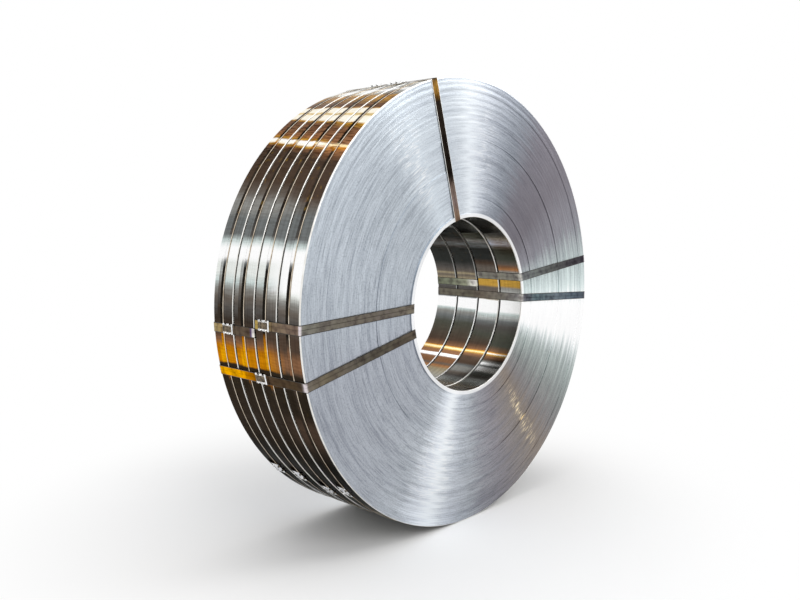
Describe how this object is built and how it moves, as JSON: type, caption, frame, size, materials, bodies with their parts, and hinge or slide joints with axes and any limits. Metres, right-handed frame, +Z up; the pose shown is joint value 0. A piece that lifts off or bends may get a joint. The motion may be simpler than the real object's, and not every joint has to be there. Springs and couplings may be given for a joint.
{
  "type": "slit steel coil bundle",
  "caption": "Narrow slit coils of bright cold-rolled steel strip, stood on the rim side by side with the bore level and tied by belly and eye straps with notched seals.",
  "frame": {"origin": "on the bore's axis, halfway along the bundle", "axes": "+Y along the bore from the front end to the rear end, +Z up, +X to the right seen from the front"},
  "size_m": [1.3055, 0.3478, 1.2924],
  "materials": {
    "coil_steel": "bright oiled cold-rolled strip: mirror-like outside, finely ringed slit edges on the ends",
    "strap_steel": "blued and waxed strapping, satin",
    "seal_steel": "galvanised sheet, crimped"
  },
  "bodies": {
    "root": {"slit_coil_1": "coil_steel", "slit_coil_2": "coil_steel", "slit_coil_3": "coil_steel", "slit_coil_4": "coil_steel", "belly_strap_1": "strap_steel", "belly_strap_2": "strap_steel", "belly_strap_3": "strap_steel", "belly_strap_4": "strap_steel", "front_pair_strap_left": "strap_steel", "front_pair_strap_right": "strap_steel", "front_pair_strap_top": "strap_steel", "rear_pair_strap_left": "strap_steel", "rear_pair_strap_right": "strap_steel", "rear_pair_strap_top": "strap_steel", "bundle_strap_left": "strap_steel", "bundle_strap_right": "strap_steel", "belly_seal_1": "seal_steel", "belly_seal_2": "seal_steel", "belly_seal_3": "seal_steel", "belly_seal_4": "seal_steel", "front_pair_seal_left": "seal_steel", "front_pair_seal_right": "seal_steel", "front_pair_seal_top": "seal_steel", "rear_pair_seal_left": "seal_steel", "rear_pair_seal_right": "seal_steel", "rear_pair_seal_top": "seal_steel", "bundle_seal_left": "seal_steel", "bundle_seal_right": "seal_steel"}
  },
  "joints": []
}
